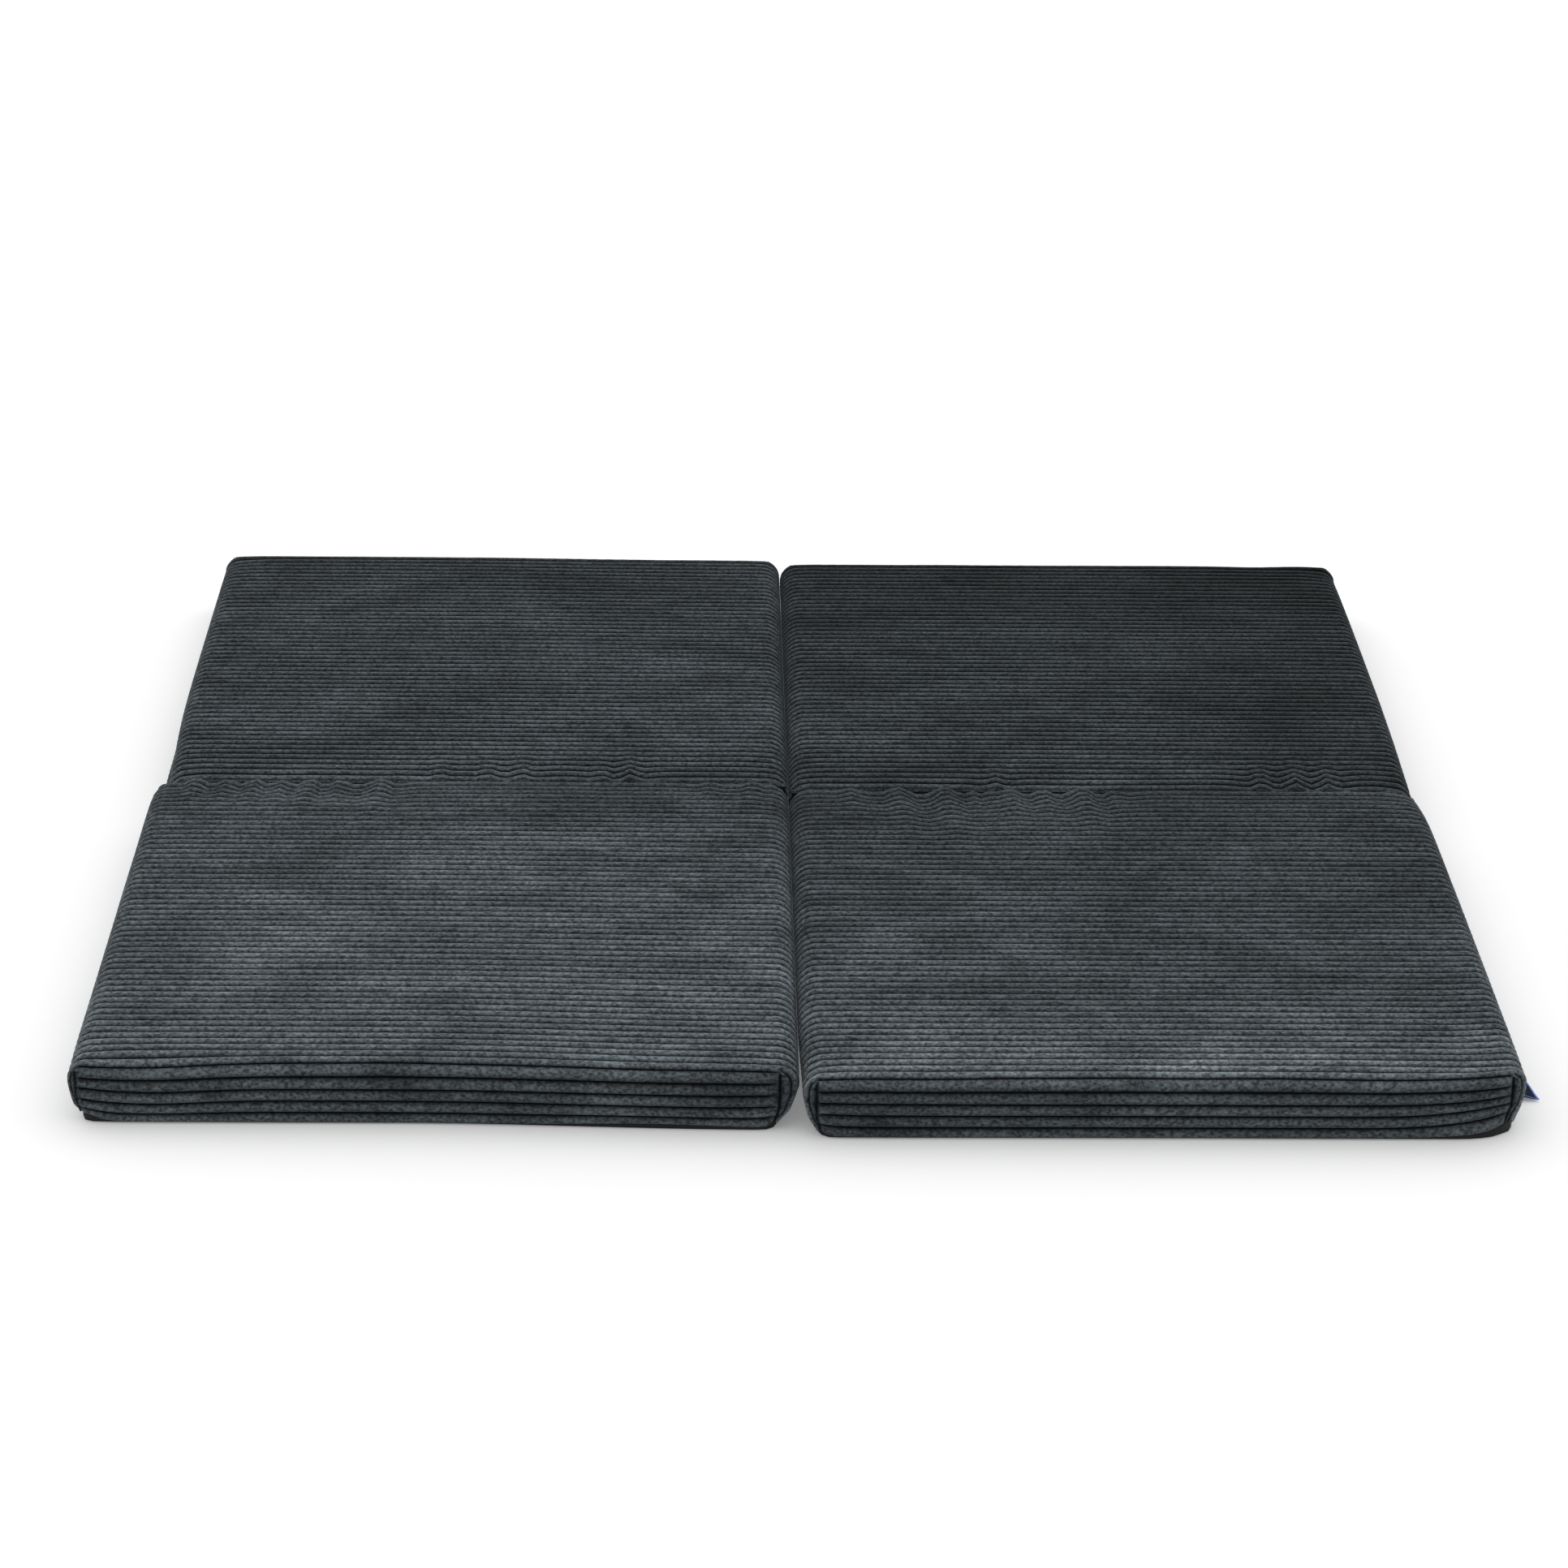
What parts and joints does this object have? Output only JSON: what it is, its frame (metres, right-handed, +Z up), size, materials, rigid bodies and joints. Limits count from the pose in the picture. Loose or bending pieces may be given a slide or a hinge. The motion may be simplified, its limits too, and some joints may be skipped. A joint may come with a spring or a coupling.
{
  "type": "folding futon mattress",
  "caption": "Corduroy floor mattress in two folding halves side by side; each half is two square foam pads hinged along a top seam, with zips and a loop label.",
  "frame": {"origin": "on the floor, on the line between the two halves, midway between their crease lines to within 2 mm", "axes": "+X along the ribs from the left half to the right half, +Y from the front pads to the back pads, +Z up"},
  "size_m": [1.2128, 1.214, 0.06],
  "materials": {
    "corduroy": "matte",
    "base_fabric": "matte",
    "foam": "matte",
    "zip_tape": "matte",
    "zip_coil": "satin",
    "zip_metal": "satin",
    "seam_tape": "matte",
    "label": "satin"
  },
  "bodies": {
    "front_left": {"front_left_cover": "corduroy", "front_left_base_panel": "base_fabric", "front_left_foam_core": "foam", "front_left_zip_upper_tape": "zip_tape", "front_left_zip_lower_tape": "zip_tape", "front_left_zip_upper_coil": "zip_coil", "front_left_zip_lower_coil": "zip_coil", "front_left_zip_end_stops": "zip_metal", "left_crease_seam": "seam_tape"},
    "front_left_slider": {"front_left_zip_slider": "zip_metal"},
    "front_left_pull": {"front_left_zip_pull": "zip_metal"},
    "back_left": {"back_left_cover": "corduroy", "back_left_base_panel": "base_fabric", "back_left_foam_core": "foam", "back_left_zip_upper_tape": "zip_tape", "back_left_zip_lower_tape": "zip_tape", "back_left_zip_upper_coil": "zip_coil", "back_left_zip_lower_coil": "zip_coil", "back_left_zip_end_stops": "zip_metal"},
    "back_left_slider": {"back_left_zip_slider": "zip_metal"},
    "back_left_pull": {"back_left_zip_pull": "zip_metal"},
    "front_right": {"front_right_cover": "corduroy", "front_right_base_panel": "base_fabric", "front_right_foam_core": "foam", "front_right_zip_upper_tape": "zip_tape", "front_right_zip_lower_tape": "zip_tape", "front_right_zip_upper_coil": "zip_coil", "front_right_zip_lower_coil": "zip_coil", "front_right_zip_end_stops": "zip_metal", "right_crease_seam": "seam_tape", "side_label": "label"},
    "front_right_slider": {"front_right_zip_slider": "zip_metal"},
    "front_right_pull": {"front_right_zip_pull": "zip_metal"},
    "back_right": {"back_right_cover": "corduroy", "back_right_base_panel": "base_fabric", "back_right_foam_core": "foam", "back_right_zip_upper_tape": "zip_tape", "back_right_zip_lower_tape": "zip_tape", "back_right_zip_upper_coil": "zip_coil", "back_right_zip_lower_coil": "zip_coil", "back_right_zip_end_stops": "zip_metal"},
    "back_right_slider": {"back_right_zip_slider": "zip_metal"},
    "back_right_pull": {"back_right_zip_pull": "zip_metal"}
  },
  "joints": [
    {"name": "crease_left", "type": "hinge", "parent": "front_left", "child": "back_left", "pos_m": [-0.30025, 0.009, 0.0606], "axis": [1, 0, 0], "range_deg": [0, 180]},
    {"name": "crease_right", "type": "hinge", "parent": "front_right", "child": "back_right", "pos_m": [0.30025, -0.005, 0.0606], "axis": [1, 0, 0], "range_deg": [0, 180]},
    {"name": "halves_apart", "type": "slide", "parent": "front_left", "child": "front_right", "axis": [1, 0, 0], "range_m": [0, 0.3]},
    {"name": "zip_front_left", "type": "slide", "parent": "front_left", "child": "front_left_slider", "axis": [0, -1, 0], "range_m": [0, 0.463]},
    {"name": "zip_pull_front_left", "type": "hinge", "parent": "front_left_slider", "child": "front_left_pull", "pos_m": [-0.5961, -0.0595, 0.0118], "axis": [0.1994, 0, -0.9799], "range_deg": [0, 180]},
    {"name": "zip_back_left", "type": "slide", "parent": "back_left", "child": "back_left_slider", "axis": [0, 1, 0], "range_m": [0, 0.463]},
    {"name": "zip_pull_back_left", "type": "hinge", "parent": "back_left_slider", "child": "back_left_pull", "pos_m": [-0.5961, 0.0775, 0.0118], "axis": [-0.1994, 0, 0.9799], "range_deg": [0, 180]},
    {"name": "zip_front_right", "type": "slide", "parent": "front_right", "child": "front_right_slider", "axis": [0, -1, 0], "range_m": [0, 0.463]},
    {"name": "zip_pull_front_right", "type": "hinge", "parent": "front_right_slider", "child": "front_right_pull", "pos_m": [0.5961, -0.0735, 0.0118], "axis": [0.1994, 0, 0.9799], "range_deg": [0, 180]},
    {"name": "zip_back_right", "type": "slide", "parent": "back_right", "child": "back_right_slider", "axis": [0, 1, 0], "range_m": [0, 0.463]},
    {"name": "zip_pull_back_right", "type": "hinge", "parent": "back_right_slider", "child": "back_right_pull", "pos_m": [0.5961, 0.0635, 0.0118], "axis": [-0.1994, 0, -0.9799], "range_deg": [0, 180]}
  ]
}
